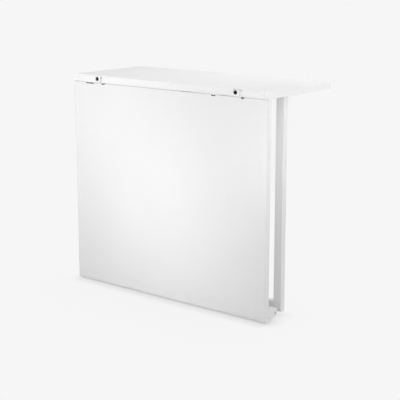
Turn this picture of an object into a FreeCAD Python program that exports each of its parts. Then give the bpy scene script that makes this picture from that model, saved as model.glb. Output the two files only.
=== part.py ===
import FreeCAD, Part
import math
import os

# Wall mounted drop leaf table, leaf hanging and support gate folded in.
# Frame: X along the wall, Y = 0 is the wall and the table stands on its -Y side, Z up.
# The origin is the centre of the four wall screws, on the wall plane.  Millimetres.

V = FreeCAD.Vector

# ---- table top ----
TABLE_WIDTH = 600.0
SHELF_DEPTH = 250.0
SHELF_THICK = 17.0
LEAF_LENGTH = 512.0
LEAF_THICK = 11.5
HANG_GAP = 1.0
RAISED_GAP = 1.0
END_STRIP = 12.0
BAND = 1.0
CORNER_R = 0.8
COVE_CLEAR = 0.42
LEAF_EDGE_R = 3.0

# ---- wall fixing ----
SCREW_SPAN_X = 200.0
SCREW_HOLE_R = 3.0
SCREW_DROP = 15.5
FOOT_SCREW_UP = 19.5
STEEL = 3.0
RAIL_LENGTH = 300.0
RAIL_FLANGE = 25.0
RAIL_DROP = 30.0
RAIL_SCREW_IN = 10.5
PLATE_SCREW_BACK = 38.0
PLATE_SCREW_FRONT = 22.0
FRAME_SCREW_R = 2.0
FRAME_HEAD_R = 4.2
FRAME_HEAD_H = 2.4
SCREW_BITE = 10.5
SCREW_SLACK = 0.02
PLATE_CORNER_R = 14.0
FOOT_CORNER_R = 6.0
FOOT_LENGTH = 240.0
POST = 25.0
WALL_T = 1.5
PLATE_WIDTH = 120.0
ARM_WIDTH = 30.0
ARM_THICK = 8.0

# ---- swinging gate ----
TUBE_FACE = 22.0
TUBE_DEPTH = 15.0
TUBE_R = 1.6
GATE_INSET = 8.0
GATE_BEHIND = 71.4
GATE_RISE = 8.0
GATE_TOP_GAP = 2.0
PIN_R = 4.0
RUNNING = 0.05
WASHER_T = 0.6
BODY_GAP = 0.4
FLANGE_T = 1.0
BUSH_LENGTH = 20.0
BUSH_R = 5.5
WASHER_R = 7.0
PIN_SHORT = 2.0
PLUG_HEAD = 1.5
CAP_PLUG = 14.0
POST_PLUG = 12.0

# ---- free end lip of the leaf ----
LIP_DEPTH = 44.0
LIP_TALL = 27.0
LIP_BACK = 14.2
LIP_BELLY = 2.3
LIP_CAP = 2.0
LIP_BACK_R = 3.0
LIP_TOP_R = 1.0
CAP_SCREW = (13.6, 10.2)
CAP_SCREW_R = 1.7
CAP_STUD = (38.2, 16.0)
CAP_STUD_R = 3.6
CAP_SHANK_R = 1.4
CAP_BITE = 11.0
CAP_SINK = 0.5

# ---- hinges ----
HINGE_FROM_END = 85.0
NOTCH_WIDE = 22.8
NOTCH_CLEAR = 0.5
BARREL_R = 6.0
HINGE_PIN_R = 2.0
HINGE_PLATE = 40.0
HINGE_PLATE_LONG = 32.0
HINGE_SHEET = 1.5
HINGE_SCREW_IN = 11.0
NECK_GAP = 2.0
EYE_R = 4.1
KNUCKLE = 6.9
WOOD_SCREW_R = 1.6
WOOD_HEAD_R = 3.4
WOOD_HEAD_H = 1.4
LEAF_BITE = 8.0
HINGE_CORNER_R = 5.0
EYE_WALL = 0.9
PIN_WALL = 0.8
KNUCKLE_GAP = 0.6
NOSE_ABOVE = 0.5
SLEEVE_WALL = 0.8
SLEEVE_FLOOR = 1.5
SLEEVE_IN = 0.3
BODY_SLACK = 0.2
HINGE_FACE_IN = 0.4
HINGE_NOSE_R = 1.2
EYE_FLOOR = 2.0
SLOT_CLEAR = 1.0

# ---- clearance notches in the leaf's upper edge: (from, to) along the table ----
RELIEF_DEEP = 2.3
RELIEFS = ((-259.0, -233.5), (-205.5, -196.0), (140.0, 152.0), (225.0, 233.0))

# ---- rest block ----
REST_RIGHT = 32.0
REST_LEFT = 30.0
REST_HALF_TALL = 19.0
REST_STOP = 7.0
REST_STOP_OUT = 6.0
REST_STOP_HALF = 15.0
REST_STOP_GAP = 0.6
REST_SCREW_IN = 8.0
REST_SINK = 2.4
SINK_CLEAR = 0.4

# ---- derived ----
GATE_DEEP = SHELF_THICK + HANG_GAP + LEAF_LENGTH - GATE_RISE
ARM_DEEP = GATE_DEEP + FLANGE_T + BODY_GAP + WASHER_T + ARM_THICK
SCREW_SPAN_Z = ARM_DEEP - FOOT_SCREW_UP - SHELF_THICK - SCREW_DROP
TOP = SCREW_SPAN_Z / 2.0 + SCREW_DROP + SHELF_THICK
HALF = TABLE_WIDTH / 2.0
HINGE_AT = HALF - HINGE_FROM_END
UNDER = TOP - SHELF_THICK
FRONT = -SHELF_DEPTH
PIVOT_IN = (SHELF_THICK + HANG_GAP - RAISED_GAP) / 2.0
PIVOT_Y = FRONT + PIVOT_IN
PIVOT_Z = TOP - PIVOT_IN
CORNER_REACH = (PIVOT_IN - CORNER_R) * math.sqrt(2.0) + CORNER_R
COVE_R = CORNER_REACH + COVE_CLEAR
LEAF_TOP = UNDER - HANG_GAP
LEAF_BOTTOM = LEAF_TOP - LEAF_LENGTH
LEAF_BACK = FRONT + LEAF_THICK
GATE_FRONT = FRONT + GATE_BEHIND
GATE_BACK = GATE_FRONT + TUBE_DEPTH
GATE_MID = GATE_FRONT + TUBE_DEPTH / 2.0
GATE_RIGHT = HALF - GATE_INSET
GATE_LOW = TOP - GATE_DEEP
PLATE_UNDER = UNDER - STEEL
STILE_TOP = PLATE_UNDER - WASHER_T - BODY_GAP - FLANGE_T
ARM_TOP = GATE_LOW - FLANGE_T - BODY_GAP - WASHER_T
ARM_LOW = ARM_TOP - ARM_THICK
PLATE_FRONT = GATE_MID - ARM_WIDTH / 2.0
LIP_RISE = LIP_TALL - LIP_BACK
LIP_CHORD = math.hypot(LIP_DEPTH, LIP_RISE)
BELLY_R = LIP_CHORD ** 2 / (8.0 * LIP_BELLY) + LIP_BELLY / 2.0


def box(x0, x1, y0, y1, z0, z1):
    """Box between two corners given as pairs of limits."""
    xa, xb = min(x0, x1), max(x0, x1)
    ya, yb = min(y0, y1), max(y0, y1)
    za, zb = min(z0, z1), max(z0, z1)
    return Part.makeBox(xb - xa, yb - ya, zb - za, V(xa, ya, za))


def rod(r, start, end):
    """Cylinder of radius r from one point to another."""
    a, b = V(*start), V(*end)
    d = b - a
    return Part.makeCylinder(r, d.Length, a, d)


def ring_of(sides, r, at, turn=FreeCAD.Rotation()):
    """Closed wire of a regular polygon with its corners r from its middle."""
    steps = [2 * math.pi * k / sides for k in range(sides)]
    points = [V(*at) + turn.multVec(V(r * math.cos(a), r * math.sin(a), 0)) for a in steps]
    return Part.makePolygon(points + points[:1])


def small_rod(r, start, end, sides=8):
    """Rod of few sides for a small shank, head or hole, so that the many screws have few faces."""
    d = V(*end) - V(*start)
    return Part.Face(ring_of(sides, r, start, FreeCAD.Rotation(V(0, 0, 1), d))).extrude(d)


def plate_xz(points, y0, y1):
    """Prism over a polygon of (x, z) points, from y0 to y1."""
    wire = Part.makePolygon([V(x, y0, z) for x, z in points + points[:1]])
    return Part.Face(wire).extrude(V(0, y1 - y0, 0))


def along(shape, axis):
    """Straight edges of a shape that run along a row axis (0, 1 or 2)."""
    found = []
    for e in shape.Edges:
        if len(e.Vertexes) != 2:
            continue
        d = e.Vertexes[1].Point - e.Vertexes[0].Point
        others = [abs(d[i]) for i in range(3) if i != axis]
        if max(others) < 1e-6 and abs(d[axis]) > 1e-6:
            found.append(e)
    return found


def edge_near(shape, axis, point):
    """The straight edge along an axis whose middle is nearest to a point."""
    p = V(*point)
    best = None
    for e in along(shape, axis):
        mid = (e.Vertexes[0].Point + e.Vertexes[1].Point) * 0.5
        mid[axis] = p[axis]
        gap = (mid - p).Length
        if best is None or gap < best[0]:
            best = (gap, e)
    return best[1]


def pan_screw(x, y, z, grip, bite, r, head_r, head_h):
    """Plain headed screw pointing up: head under z, shank through grip and into the board."""
    rings = [ring_of(12, head_r * 0.7, (x, y, z - head_h)), ring_of(12, head_r, (x, y, z))]
    head = Part.makeLoft(rings, True, True)
    shank = small_rod(r, (x, y, z), (x, y, z + grip + bite))
    return head.fuse(shank)


# ---------------------------------------------------------------- shelf

def frame_screw_points():
    """Places of the screws that hold the rail and the plate to the shelf."""
    rail_x = (RAIL_LENGTH / 2 - RAIL_SCREW_IN * 2,)
    rail_y = -RAIL_FLANGE + RAIL_SCREW_IN
    plate_x = PLATE_WIDTH / 2 - RAIL_SCREW_IN
    plate_y = (-RAIL_FLANGE - PLATE_SCREW_BACK, PLATE_FRONT + PLATE_SCREW_FRONT)
    points = [(s * x, rail_y) for s in (-1, 1) for x in rail_x]
    points += [(s * plate_x, y) for s in (-1, 1) for y in plate_y]
    return points


def hinge_screw_points(hx):
    """Places of the screws through one hinge's plate under the shelf."""
    y_far = PIVOT_Y + HINGE_PLATE_LONG - HINGE_SCREW_IN
    dx = HINGE_PLATE * 0.3
    return [(hx - dx, y_far), (hx + dx, y_far)]


def shelf_notch(hx):
    """Pocket in the shelf's front edge for one hinge body, open below."""
    return box(hx - NOTCH_WIDE / 2, hx + NOTCH_WIDE / 2, FRONT - 1, PIVOT_Y + BARREL_R + NOTCH_CLEAR * 4,
               UNDER - 1, PIVOT_Z + BARREL_R + NOTCH_CLEAR)


def shelf_parts():
    """Board, front band and the two solid end strips."""
    x = HALF - END_STRIP
    board = box(-x, x, FRONT + BAND, 0, UNDER, TOP)
    band = box(-x, x, FRONT, FRONT + BAND, UNDER, TOP)
    band = band.makeFillet(CORNER_R, [edge_near(band, 0, (0, FRONT, UNDER))])
    strips = []
    for s in (-1, 1):
        strip = box(s * x, s * HALF, FRONT, 0, UNDER, TOP)
        low = edge_near(strip, 0, (0, FRONT, UNDER))
        strips.append(strip.makeFillet(CORNER_R, [low]))
    for hx in (-HINGE_AT, HINGE_AT):
        board = board.cut(shelf_notch(hx))
        band = band.cut(shelf_notch(hx))
        for sx, sy in hinge_screw_points(hx):
            board = board.cut(small_rod(WOOD_SCREW_R, (sx, sy, UNDER), (sx, sy, UNDER + SCREW_BITE)))
    for sx, sy in frame_screw_points():
        board = board.cut(small_rod(FRAME_SCREW_R, (sx, sy, UNDER), (sx, sy, UNDER + SCREW_BITE)))
    return board, band, Part.makeCompound(strips)


# ---------------------------------------------------------------- wall frame

def wall_rail():
    """Steel angle on the wall, its flat flange under the shelf's back edge."""
    half = RAIL_LENGTH / 2
    up = box(-half, half, -STEEL, 0, UNDER - RAIL_DROP, UNDER)
    flat = box(-half, half, -RAIL_FLANGE, -STEEL, UNDER - STEEL, UNDER)
    rail = up.fuse(flat).removeSplitter()
    for s in (-1, 1):
        x = s * SCREW_SPAN_X / 2
        z = SCREW_SPAN_Z / 2
        rail = rail.cut(rod(SCREW_HOLE_R, (x, -STEEL - 1, z), (x, 1, z)))
    for sx, sy in frame_screw_points():
        if sy > -RAIL_FLANGE:
            rail = rail.cut(small_rod(FRAME_SCREW_R, (sx, sy, UNDER - STEEL - 1), (sx, sy, UNDER + 1)))
    return rail


def foot_plate():
    """Flat steel bar on the wall at the foot of the post."""
    half = FOOT_LENGTH / 2
    low = ARM_LOW
    high = -SCREW_SPAN_Z / 2 + SCREW_DROP
    bar = box(-half, half, -STEEL, 0, low, high)
    bar = bar.makeFillet(FOOT_CORNER_R, along(bar, 1))
    for s in (-1, 1):
        x = s * SCREW_SPAN_X / 2
        z = -SCREW_SPAN_Z / 2
        bar = bar.cut(rod(SCREW_HOLE_R, (x, -STEEL - 1, z), (x, 1, z)))
    return bar


def wall_post():
    """Square tube between the rail and the foot, standing on the wall plates."""
    h = POST / 2
    y0, y1 = -STEEL - POST, -STEEL
    outer = box(-h, h, y0, y1, ARM_LOW, PLATE_UNDER)
    outer = outer.makeFillet(TUBE_R, along(outer, 2))
    inner = box(-h + WALL_T, h - WALL_T, y0 + WALL_T, y1 - WALL_T, ARM_LOW - 1, PLATE_UNDER + 1)
    return outer.cut(inner)


def post_plug():
    """Push-in plug that closes the post's lower end."""
    h = POST / 2
    y0, y1 = -STEEL - POST, -STEEL
    head = box(-h, h, y0, y1, ARM_LOW - PLUG_HEAD, ARM_LOW)
    w = WALL_T
    body = box(-h + w, h - w, y0 + w, y1 - w, ARM_LOW, ARM_LOW + POST_PLUG)
    return head.fuse(body).removeSplitter()


def top_plate():
    """Steel plate under the shelf that carries the gate's upper pin."""
    half = PLATE_WIDTH / 2
    plate = box(-half, half, PLATE_FRONT, -RAIL_FLANGE, PLATE_UNDER, UNDER)
    front = [e for e in along(plate, 2) if e.BoundBox.YMax < PLATE_FRONT + 1e-6]
    plate = plate.makeFillet(PLATE_CORNER_R, front)
    plate = plate.cut(rod(PIN_R, (0, GATE_MID, PLATE_UNDER - 1), (0, GATE_MID, UNDER + 1)))
    for sx, sy in frame_screw_points():
        if sy < -RAIL_FLANGE:
            plate = plate.cut(small_rod(FRAME_SCREW_R, (sx, sy, PLATE_UNDER - 1), (sx, sy, UNDER + 1)))
    return plate


def foot_arm():
    """Flat bar from the post's foot to the gate's lower pin, round at its end."""
    h = ARM_WIDTH / 2
    arm = box(-h, h, GATE_MID, -STEEL - POST, ARM_LOW, ARM_TOP)
    arm = arm.fuse(rod(h, (0, GATE_MID, ARM_LOW), (0, GATE_MID, ARM_TOP))).removeSplitter()
    return arm.cut(rod(PIN_R, (0, GATE_MID, ARM_LOW - 1), (0, GATE_MID, ARM_TOP + 1)))


def gate_pins():
    """Upper and lower steel pins, fixed in the plate and in the arm."""
    low = STILE_TOP - BUSH_LENGTH + PIN_SHORT
    upper = rod(PIN_R, (0, GATE_MID, UNDER), (0, GATE_MID, low))
    top = GATE_LOW + BUSH_LENGTH - PIN_SHORT
    lower = rod(PIN_R, (0, GATE_MID, ARM_LOW), (0, GATE_MID, top))
    return upper, lower


def thrust_washers():
    """Thin washers on the pins, above and below the gate."""
    made = []
    for z0, z1 in ((PLATE_UNDER - WASHER_T, PLATE_UNDER), (ARM_TOP, ARM_TOP + WASHER_T)):
        ring = rod(WASHER_R, (0, GATE_MID, z0), (0, GATE_MID, z1))
        made.append(ring.cut(rod(PIN_R, (0, GATE_MID, z0 - 1), (0, GATE_MID, z1 + 1))))
    return Part.makeCompound(made)


def frame_screws():
    """Screws that hold the rail and the plate up against the shelf."""
    made = []
    for sx, sy in frame_screw_points():
        made.append(pan_screw(sx, sy, PLATE_UNDER, STEEL, SCREW_BITE,
                              FRAME_SCREW_R - SCREW_SLACK, FRAME_HEAD_R, FRAME_HEAD_H))
    return Part.makeCompound(made)


# ---------------------------------------------------------------- hinges

def hinge_body(hx):
    """Shelf half of a hinge: body in the edge pocket and a plate under the shelf."""
    x0 = hx - NOTCH_WIDE / 2 + BODY_SLACK
    x1 = hx + NOTCH_WIDE / 2 - KNUCKLE - NOTCH_CLEAR
    y1 = PIVOT_Y + BARREL_R
    z1 = PIVOT_Z + BARREL_R
    face = FRONT + HINGE_FACE_IN
    far = HINGE_PLATE
    body = box(x0, x1, face, y1, UNDER - HINGE_SHEET, z1)
    body = body.makeFillet(HINGE_NOSE_R, [edge_near(body, 0, (x0, face, z1))])
    clear = rod(COVE_R + far, (x0 - 1, PIVOT_Y, PIVOT_Z), (x1 + 1, PIVOT_Y, PIVOT_Z))
    clear = clear.cut(rod(CORNER_REACH, (x0 - 2, PIVOT_Y, PIVOT_Z), (x1 + 2, PIVOT_Y, PIVOT_Z)))
    front_low = box(x0 - 1, x1 + 1, FRONT - far, PIVOT_Y, PIVOT_Z, PIVOT_Z - far)
    body = body.cut(clear.common(front_low))
    body = body.cut(box(x0 - 1, x1 + 1, FRONT - 1, LEAF_BACK, UNDER - far, UNDER))
    plate = box(hx - HINGE_PLATE / 2, hx + HINGE_PLATE / 2, LEAF_BACK, PIVOT_Y + HINGE_PLATE_LONG,
                UNDER - HINGE_SHEET, UNDER)
    back = [e for e in along(plate, 2) if e.BoundBox.YMin > PIVOT_Y + HINGE_PLATE_LONG - 1e-6]
    plate = plate.makeFillet(HINGE_CORNER_R, back)
    side = hx + NOTCH_WIDE / 2 + NOTCH_CLEAR
    slot = box(x1, side, FRONT, y1 + SLOT_CLEAR, UNDER - far, UNDER + 1)
    plate = plate.cut(slot)
    low = UNDER - HINGE_SHEET - 1
    for sx, sy in hinge_screw_points(hx):
        plate = plate.cut(small_rod(WOOD_SCREW_R, (sx, sy, low), (sx, sy, UNDER + 1)))
    made = body.fuse(plate).removeSplitter()
    eye_x = x0 + EYE_R + EYE_WALL
    made = made.cut(rod(EYE_R, (eye_x, FRONT - 1, PIVOT_Z), (eye_x, y1 - EYE_FLOOR, PIVOT_Z)))
    pin_x = eye_x + EYE_R + PIN_WALL
    return made.cut(rod(HINGE_PIN_R, (pin_x, PIVOT_Y, PIVOT_Z), (side, PIVOT_Y, PIVOT_Z)))


def hinge_sleeve(hx):
    """Dark moulded cup that lines the round eye of one hinge body."""
    eye_x = hx - NOTCH_WIDE / 2 + BODY_SLACK + EYE_WALL + EYE_R
    front = FRONT + HINGE_FACE_IN + SLEEVE_IN
    back = PIVOT_Y + BARREL_R - EYE_FLOOR
    floor = back - SLEEVE_FLOOR
    cup = rod(EYE_R - RUNNING, (eye_x, front, PIVOT_Z), (eye_x, back, PIVOT_Z))
    return cup.cut(rod(EYE_R - SLEEVE_WALL, (eye_x, front - 1, PIVOT_Z), (eye_x, floor, PIVOT_Z)))


def hinge_pin(hx):
    """Steel pin of one hinge, held in the body and free in the knuckle."""
    x0 = hx - NOTCH_WIDE / 2 + BODY_SLACK + EYE_WALL + 2 * EYE_R + PIN_WALL
    x1 = hx + NOTCH_WIDE / 2 - KNUCKLE_GAP
    return rod(HINGE_PIN_R, (x0, PIVOT_Y, PIVOT_Z), (x1, PIVOT_Y, PIVOT_Z))


def hinge_flap(hx):
    """Leaf half of a hinge: one knuckle, square below its front, and a plate down the leaf's back."""
    x0 = hx + NOTCH_WIDE / 2 - KNUCKLE
    x1 = hx + NOTCH_WIDE / 2 - KNUCKLE_GAP
    y0 = LEAF_BACK
    y1 = LEAF_BACK + HINGE_SHEET
    barrel = rod(BARREL_R, (x0, PIVOT_Y, PIVOT_Z), (x1, PIVOT_Y, PIVOT_Z))
    nose_front, nose_low = PIVOT_Y - BARREL_R, LEAF_TOP + NOSE_ABOVE
    nose = box(x0, x1, nose_front, PIVOT_Y, nose_low, PIVOT_Z)
    nose = nose.makeFillet(HINGE_NOSE_R, [edge_near(nose, 0, (x0, nose_front, nose_low))])
    neck_low = PIVOT_Z - COVE_R - NECK_GAP
    neck = box(x0, x1, y0, y1, neck_low, PIVOT_Z)
    half = HINGE_PLATE / 2
    plate = box(hx - half, hx + half, y0, y1, neck_low - HINGE_PLATE_LONG, neck_low)
    low = [e for e in along(plate, 1) if e.BoundBox.ZMax < neck_low - 1]
    plate = plate.makeFillet(HINGE_CORNER_R, low)
    made = barrel.fuse(nose).fuse(neck).fuse(plate).removeSplitter()
    for sx, sz in flap_screw_points(hx):
        made = made.cut(small_rod(WOOD_SCREW_R, (sx, y0 - 1, sz), (sx, y1 + 1, sz)))
    return made.cut(rod(HINGE_PIN_R + RUNNING, (x0 - 1, PIVOT_Y, PIVOT_Z), (x1 + 1, PIVOT_Y, PIVOT_Z)))


def flap_screw_points(hx):
    """Places of the screws through one hinge's plate on the leaf."""
    low = PIVOT_Z - COVE_R - NECK_GAP - HINGE_PLATE_LONG + HINGE_SCREW_IN
    dx = HINGE_PLATE * 0.3
    return [(hx - dx, low), (hx + dx, low)]


def hinge_screws_shelf():
    """Screws up through the hinge plates into the shelf."""
    made = []
    for hx in (-HINGE_AT, HINGE_AT):
        for sx, sy in hinge_screw_points(hx):
            made.append(pan_screw(sx, sy, UNDER - HINGE_SHEET, HINGE_SHEET, SCREW_BITE,
                                  WOOD_SCREW_R - SCREW_SLACK, WOOD_HEAD_R, WOOD_HEAD_H))
    return Part.makeCompound(made)


def hinge_screws_leaf():
    """Screws through the hinge plates into the leaf's back."""
    made = []
    y = LEAF_BACK + HINGE_SHEET
    for hx in (-HINGE_AT, HINGE_AT):
        for sx, sz in flap_screw_points(hx):
            up = pan_screw(0, 0, 0, HINGE_SHEET, LEAF_BITE,
                           WOOD_SCREW_R - SCREW_SLACK, WOOD_HEAD_R, WOOD_HEAD_H)
            up.rotate(V(0, 0, 0), V(1, 0, 0), 90)
            up.translate(V(sx, y, sz))
            made.append(up)
    return Part.makeCompound(made)


# ---------------------------------------------------------------- leaf

def belly(y):
    """Height of the leaf's rounded lower face, an arc that rises towards the wall."""
    tilt = math.atan2(LIP_RISE, LIP_DEPTH)
    up = BELLY_R - LIP_BELLY
    centre_y = FRONT + LIP_DEPTH / 2.0 - up * math.sin(tilt)
    centre_z = LEAF_BOTTOM + LIP_RISE / 2.0 + up * math.cos(tilt)
    return centre_z - math.sqrt(BELLY_R ** 2 - (y - centre_y) ** 2)


def bellied(y0, y1, top, x0, x1):
    """Prism from x0 to x1 between two depths, flat on top, with the leaf's rounded lower face."""
    middle = (y0 + y1) / 2.0
    low = Part.Arc(V(x0, y0, belly(y0)), V(x0, middle, belly(middle)), V(x0, y1, belly(y1))).toShape()
    rest = Part.makePolygon([V(x0, y1, belly(y1)), V(x0, y1, top), V(x0, y0, top), V(x0, y0, belly(y0))])
    return Part.Face(Part.Wire([low] + rest.Edges)).extrude(V(x1 - x0, 0, 0))


def cove(x0, x1):
    """Hollow along the leaf's hinge edge that clears the shelf's lower corner."""
    return rod(COVE_R, (x0, PIVOT_Y, PIVOT_Z), (x1, PIVOT_Y, PIVOT_Z))


def leaf_parts():
    """Leaf board and the thin bands on its two side edges."""
    board = bellied(FRONT, LEAF_BACK, LEAF_TOP, -HALF + BAND, HALF - BAND)
    board = board.makeFillet(LEAF_EDGE_R, [edge_near(board, 0, (0, FRONT, LEAF_BOTTOM))])
    board = board.cut(cove(-HALF, HALF))
    for x0, x1 in RELIEFS:
        board = board.cut(box(x0, x1, FRONT - 1, PIVOT_Y, LEAF_TOP - RELIEF_DEEP, LEAF_TOP + 1))
    points = flap_screw_points(-HINGE_AT) + flap_screw_points(HINGE_AT) + rest_screw_points()
    for sx, sz in points:
        tip = (sx, LEAF_BACK - LEAF_BITE, sz)
        board = board.cut(small_rod(WOOD_SCREW_R, tip, (sx, LEAF_BACK, sz)))
    bands = []
    for s in (-1, 1):
        x0 = s * (HALF - BAND)
        x1 = s * HALF
        band = bellied(FRONT, LEAF_BACK, LEAF_TOP, min(x0, x1), max(x0, x1))
        band = band.makeFillet(LEAF_EDGE_R, [edge_near(band, 0, (x0, FRONT, LEAF_BOTTOM))])
        bands.append(band.cut(cove(min(x0, x1) - 1, max(x0, x1) + 1)))
    return board, Part.makeCompound(bands)


def lip_bar(x0, x1):
    """Length of the lip's section with its rounded back corners."""
    back = FRONT + LIP_DEPTH
    top = LEAF_BOTTOM + LIP_TALL
    bar = bellied(LEAF_BACK, back, top, x0, x1)
    bar = bar.makeFillet(LIP_BACK_R, [edge_near(bar, 0, (x0, back, belly(back)))])
    return bar.makeFillet(LIP_TOP_R, [edge_near(bar, 0, (x0, back, top))])


def lip_screw_points():
    """Middles and head radii of an end cap's two screws, as (y, z, radius)."""
    return [(FRONT + at[0], LEAF_BOTTOM + at[1], r) for at, r in
            ((CAP_SCREW, CAP_SCREW_R), (CAP_STUD, CAP_STUD_R))]


def lip_cap(s):
    """Cover on one end of the lip, with the holes for its screws."""
    x0, x1 = sorted((s * (HALF - LIP_CAP), s * HALF))
    cap = lip_bar(x0, x1)
    for y, z, r in lip_screw_points():
        cap = cap.cut(rod(r, (x0 - 1, y, z), (x1 + 1, y, z)))
    return cap


def leaf_lip():
    """Deep strip along the leaf's free end, between its end caps."""
    x = HALF - LIP_CAP
    bar = lip_bar(-x, x)
    for y, z, r in lip_screw_points():
        for s in (-1, 1):
            bar = bar.cut(small_rod(CAP_SHANK_R, (s * (x - CAP_BITE), y, z), (s * (x + 1), y, z)))
    return bar


def lip_cap_screws():
    """Two flat headed screws in each end cap, sunk just below its face."""
    made = []
    for s in (-1, 1):
        for y, z, r in lip_screw_points():
            inner = s * (HALF - LIP_CAP)
            tip = inner - s * CAP_BITE
            head = small_rod(r - SCREW_SLACK, (inner, y, z), (s * (HALF - CAP_SINK), y, z), 12)
            shank = small_rod(CAP_SHANK_R - SCREW_SLACK, (tip, y, z), (inner, y, z))
            made.append(head.fuse(shank))
    return Part.makeCompound(made)


def rest_centre():
    """Height on the hanging leaf that lies over the gate's outer stile when both are out."""
    reach = GATE_RIGHT - TUBE_FACE / 2 + PIVOT_Y - GATE_MID
    return PIVOT_Z - reach


def rest_screw_points():
    """Places of the two screws in the rest block."""
    z = rest_centre()
    return [(-REST_LEFT + REST_SCREW_IN, z), (REST_RIGHT - REST_SCREW_IN, z)]


def rest_thick():
    """Thickness of the rest block, from the raised leaf down to the gate's cap."""
    return (TOP - LEAF_THICK) - (UNDER - GATE_TOP_GAP) - BODY_GAP


def rest_block():
    """Pad on the leaf's back that the gate's outer stile comes under, with a stop."""
    z = rest_centre()
    y0, y1 = LEAF_BACK, LEAF_BACK + rest_thick()
    pad = box(-REST_LEFT, REST_RIGHT, y0, y1, z - REST_HALF_TALL, z + REST_HALF_TALL)
    pad = pad.makeFillet(4.0, along(pad, 1))
    half = TUBE_DEPTH / 2 + REST_STOP_GAP
    stop = box(-half - REST_STOP, -half, y0, y1 + REST_STOP_OUT, z - REST_STOP_HALF, z + REST_STOP_HALF)
    made = pad.fuse(stop).removeSplitter()
    for sx, sz in rest_screw_points():
        made = made.cut(small_rod(WOOD_SCREW_R, (sx, y0 - 1, sz), (sx, y1 + 1, sz)))
        sink = small_rod(WOOD_HEAD_R + SINK_CLEAR, (sx, y1 - REST_SINK, sz), (sx, y1 + 1, sz), 12)
        made = made.cut(sink)
    return made


def rest_screws():
    """Two screws that hold the rest block to the leaf."""
    grip = rest_thick() - REST_SINK
    made = []
    for sx, sz in rest_screw_points():
        up = pan_screw(0, 0, 0, grip, LEAF_BITE, WOOD_SCREW_R - SCREW_SLACK, WOOD_HEAD_R, WOOD_HEAD_H)
        up.rotate(V(0, 0, 0), V(1, 0, 0), 90)
        up.translate(V(sx, LEAF_BACK + grip, sz))
        made.append(up)
    return Part.makeCompound(made)


# ---------------------------------------------------------------- gate

def gate_tube(outer, inner, axis):
    """Rectangular tube over an outline in X and Z, long edges rounded, hollow inside."""
    solid = plate_xz(outer, GATE_FRONT, GATE_BACK)
    solid = solid.makeFillet(TUBE_R, along(solid, axis))
    return solid.cut(plate_xz(inner, GATE_FRONT + WALL_T, GATE_BACK - WALL_T))


def outer_stile():
    """Upright at the gate's free end, mitred to the rail below."""
    x1 = GATE_RIGHT
    x0 = GATE_RIGHT - TUBE_FACE
    low = GATE_LOW
    high = UNDER - GATE_TOP_GAP - PLUG_HEAD
    w = WALL_T
    outer = [(x0, low + TUBE_FACE), (x1, low), (x1, high), (x0, high)]
    inner = [(x0 + w, low + TUBE_FACE - w), (x1 - w, low + w), (x1 - w, high + 1), (x0 + w, high + 1)]
    return gate_tube(outer, inner, 2)


def pivot_stile():
    """Upright on the pins, mitred to the rail below."""
    h = TUBE_FACE / 2
    low = GATE_LOW
    w = WALL_T
    high = STILE_TOP
    outer = [(-h, low), (h, low + TUBE_FACE), (h, high), (-h, high)]
    inner = [(-h + w, low + w), (h - w, low + TUBE_FACE - w), (h - w, high + 1), (-h + w, high + 1)]
    return gate_tube(outer, inner, 2)


def gate_rail():
    """Rail along the gate's foot, mitred at both ends."""
    h = TUBE_FACE / 2
    x1 = GATE_RIGHT
    low = GATE_LOW
    high = low + TUBE_FACE
    w = WALL_T
    outer = [(-h, low), (x1, low), (x1 - TUBE_FACE, high), (h, high)]
    inner = [(-h + w, low + w), (x1 - w, low + w), (x1 - TUBE_FACE + w, high - w), (h - w, high - w)]
    tube = gate_tube(outer, inner, 0)
    return tube.cut(rod(BUSH_R, (0, GATE_MID, low - 1), (0, GATE_MID, low + w + 1)))


def stile_cap():
    """Cap in the top of the outer stile; the raised leaf rests on it."""
    x1 = GATE_RIGHT
    x0 = GATE_RIGHT - TUBE_FACE
    w = WALL_T
    high = UNDER - GATE_TOP_GAP
    low = high - PLUG_HEAD
    head = box(x0, x1, GATE_FRONT, GATE_BACK, low, high)
    head = head.makeFillet(TUBE_R, along(head, 2))
    plug = box(x0 + w, x1 - w, GATE_FRONT + w, GATE_BACK - w, low - CAP_PLUG, low)
    return head.fuse(plug).removeSplitter()


def gate_bushes():
    """Upper and lower bushes that turn on the pins."""
    w = WALL_T
    h = TUBE_FACE / 2
    flange = box(-h, h, GATE_FRONT, GATE_BACK, STILE_TOP, STILE_TOP + FLANGE_T)
    flange = flange.makeFillet(TUBE_R, along(flange, 2))
    plug = box(-h + w, h - w, GATE_FRONT + w, GATE_BACK - w, STILE_TOP - BUSH_LENGTH, STILE_TOP)
    upper = flange.fuse(plug).removeSplitter()
    lower = rod(BUSH_R, (0, GATE_MID, GATE_LOW), (0, GATE_MID, GATE_LOW + BUSH_LENGTH))
    lower = lower.fuse(rod(WASHER_R, (0, GATE_MID, GATE_LOW - FLANGE_T), (0, GATE_MID, GATE_LOW)))
    bore = rod(PIN_R + RUNNING, (0, GATE_MID, ARM_LOW), (0, GATE_MID, TOP))
    return upper.cut(bore), lower.removeSplitter().cut(bore)


def save(name, shape):
    """Write one node's STEP file."""
    for solid in shape.Solids:
        if not solid.isValid():
            print("not valid:", name)
    shape.exportStep("parts/" + name + ".step")
    volume = sum(s.Volume for s in shape.Solids)
    print(name, len(shape.Solids), "solids", round(volume), "mm3")


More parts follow.
